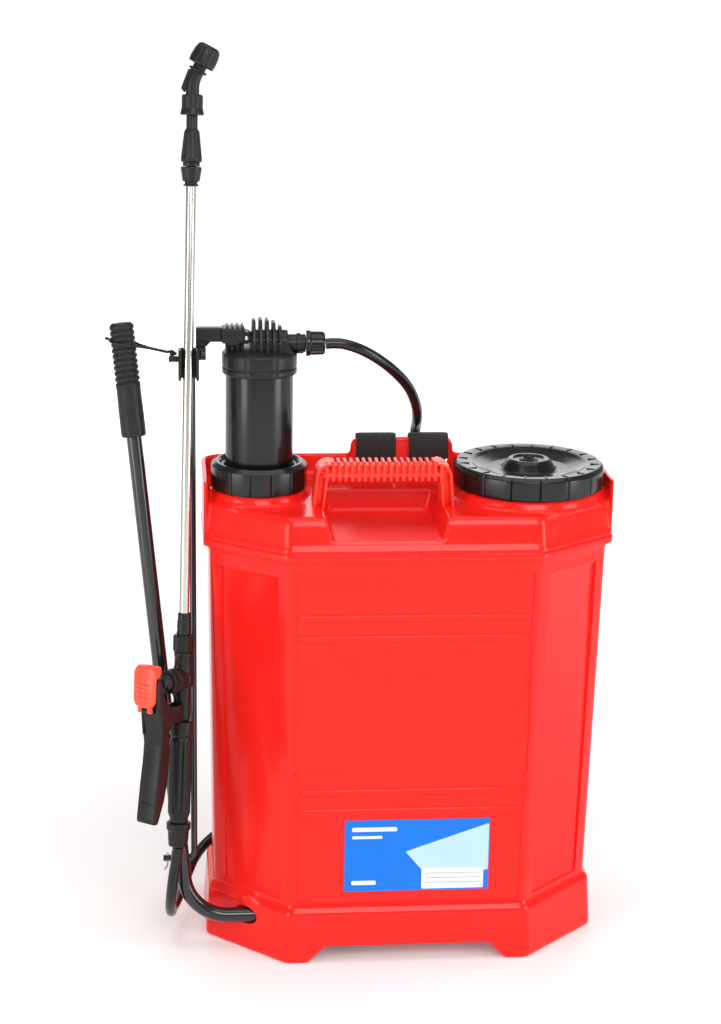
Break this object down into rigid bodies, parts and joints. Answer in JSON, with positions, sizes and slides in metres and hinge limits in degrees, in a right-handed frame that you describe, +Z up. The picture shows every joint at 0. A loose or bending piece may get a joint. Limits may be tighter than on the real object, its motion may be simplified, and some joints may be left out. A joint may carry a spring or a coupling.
{
  "type": "backpack sprayer",
  "caption": "Red backpack garden sprayer with a side pump lever, pressure chamber, carry handle, shoulder straps, hose, trigger gun and spray lance.",
  "frame": {"origin": "middle of the footprint, on the floor, under the whole sprayer without its hoses", "axes": "+Z up, +Y from the tank's front towards the wearer's back, +X to the wearer's right, away from the pump lever"},
  "size_m": [0.4686, 0.2149, 0.8426],
  "materials": {
    "red_plastic": "glossy moulded polyethylene",
    "handle_plastic": "semi-gloss",
    "black_gloss": "semi-gloss",
    "black_matte": "satin moulded",
    "black_steel": "glossy black paint",
    "stainless_steel": "polished",
    "lock_plastic": "semi-gloss",
    "black_rubber": "matte",
    "webbing": "woven",
    "hose_pvc": "glossy",
    "label_film": "satin printed film",
    "natural_plastic": "matte"
  },
  "bodies": {
    "sprayer": {"tank_shell": "red_plastic", "carry_handle": "handle_plastic", "front_label": "label_film", "pump_ring_nut": "black_gloss", "pump_gasket": "black_rubber", "pump_cylinder": "black_matte", "foot_valve_body": "black_matte", "suction_strainer": "natural_plastic", "axle_bush_left": "black_matte", "axle_bush_right": "black_matte", "strap_left": "webbing", "strap_right": "webbing", "strap_buckle_left": "black_matte", "strap_buckle_right": "black_matte", "strap_anchor_left": "black_matte", "strap_anchor_right": "black_matte", "hose_upper": "hose_pvc", "hose_lower": "hose_pvc"},
    "lid_seal": {"lid_gasket": "black_rubber"},
    "lid": {"lid_cap": "black_gloss", "lid_breather": "black_matte"},
    "basket": {"filler_basket": "natural_plastic"},
    "lever": {"lever_bar": "black_steel", "lever_grip": "black_rubber", "axle_retainer": "stainless_steel"},
    "keeper": {"keeper_loop": "black_matte"},
    "rod": {"connecting_rod": "black_steel", "rod_cotter": "stainless_steel", "rod_washer": "stainless_steel"},
    "pump": {"air_chamber": "black_gloss", "piston": "natural_plastic", "piston_cup": "black_rubber", "chamber_head": "black_matte", "pump_hose_nut": "black_gloss", "pump_arm": "black_matte", "arm_pin": "stainless_steel", "lance_clip": "black_matte", "clip_screw": "stainless_steel"},
    "inlet_valve": {"inlet_ball": "stainless_steel"},
    "outlet_valve": {"outlet_ball": "stainless_steel"},
    "lance": {"lance_tube": "stainless_steel", "gun_ferrule": "black_matte", "lance_gland_nut": "black_matte", "lance_gland": "black_matte", "elbow_nut": "black_matte", "gun_nut": "black_matte", "gun_body": "black_matte", "valve_cap": "black_gloss", "trigger_pin": "stainless_steel", "gun_grip": "black_matte", "gun_hose_nut": "black_matte"},
    "elbow": {"nozzle_elbow": "black_matte"},
    "nozzle": {"nozzle_cap": "black_matte"},
    "trigger": {"trigger_lever": "black_matte"},
    "lock": {"trigger_lock": "lock_plastic"},
    "stem": {"valve_stem": "stainless_steel", "valve_spring": "stainless_steel"}
  },
  "joints": [
    {"name": "lid_lift", "type": "slide", "parent": "sprayer", "child": "lid_seal", "axis": [0, 0, 1], "range_m": [0, 0.14]},
    {"name": "lid_turn", "type": "hinge", "parent": "lid_seal", "child": "lid", "pos_m": [0.1578, 0.0128, 0.4428], "axis": [0, 0, 1], "continuous": true},
    {"name": "basket_lift", "type": "slide", "parent": "sprayer", "child": "basket", "axis": [0, 0, 1], "range_m": [0, 0.07]},
    {"name": "lever_swing", "type": "hinge", "parent": "sprayer", "child": "lever", "pos_m": [-0.1607, -0.0442, 0.0357], "axis": [-1, 0, 0], "range_deg": [0, 75]},
    {"name": "keeper_slide", "type": "slide", "parent": "lever", "child": "keeper", "axis": [-0.1025, 0.1041, 0.9893], "range_m": [0, 0.04]},
    {"name": "rod_swing", "type": "hinge", "parent": "lever", "child": "rod", "pos_m": [-0.155, -0.03816, 0.0931], "axis": [-1, 0, 0], "range_deg": [-81.5, 0]},
    {"name": "pump_slide", "type": "slide", "parent": "sprayer", "child": "pump", "axis": [0, 0, -1], "range_m": [0, 0.0458]},
    {"name": "inlet_ball_lift", "type": "slide", "parent": "sprayer", "child": "inlet_valve", "axis": [0, 0, 1], "range_m": [0, 0.003]},
    {"name": "outlet_ball_lift", "type": "slide", "parent": "pump", "child": "outlet_valve", "axis": [0, 0, 1], "range_m": [0, 0.003]},
    {"name": "lance_unclip", "type": "slide", "parent": "sprayer", "child": "lance", "axis": [0, -1, 0], "range_m": [0, 0.06]},
    {"name": "elbow_turn", "type": "hinge", "parent": "lance", "child": "elbow", "pos_m": [-0.15397, 0.02287, 0.78361], "axis": [0.021, 0.1255, 0.9919], "continuous": true},
    {"name": "nozzle_turn", "type": "hinge", "parent": "elbow", "child": "nozzle", "pos_m": [-0.14553, 0.02743, 0.82389], "axis": [0.4649, 0.08, 0.8818], "continuous": true},
    {"name": "trigger_pull", "type": "hinge", "parent": "lance", "child": "trigger", "pos_m": [-0.18232, -0.06445, 0.24579], "axis": [0.7656, -0.641, 0.0545], "range_deg": [0, 7], "stiffness_Nm_per_rad": 3, "springref_deg": -5.73},
    {"name": "lock_flip", "type": "hinge", "parent": "trigger", "child": "lock", "pos_m": [-0.19966, -0.08407, 0.25863], "axis": [0.7656, -0.641, 0.0545], "range_deg": [0, 25]},
    {"name": "stem_slide", "type": "slide", "parent": "lance", "child": "stem", "axis": [-0.6424, -0.7573, 0.1172], "range_m": [0, 0.003]}
  ],
  "couplings": [
    {"joint": "basket_lift", "follows": "lid_lift", "ratio": 0.5},
    {"joint": "pump_slide", "follows": "lever_swing", "m_per_rad": 0.0349},
    {"joint": "rod_swing", "follows": "lever_swing", "ratio": -1.0822},
    {"joint": "stem_slide", "follows": "trigger_pull", "m_per_rad": 0.024}
  ]
}
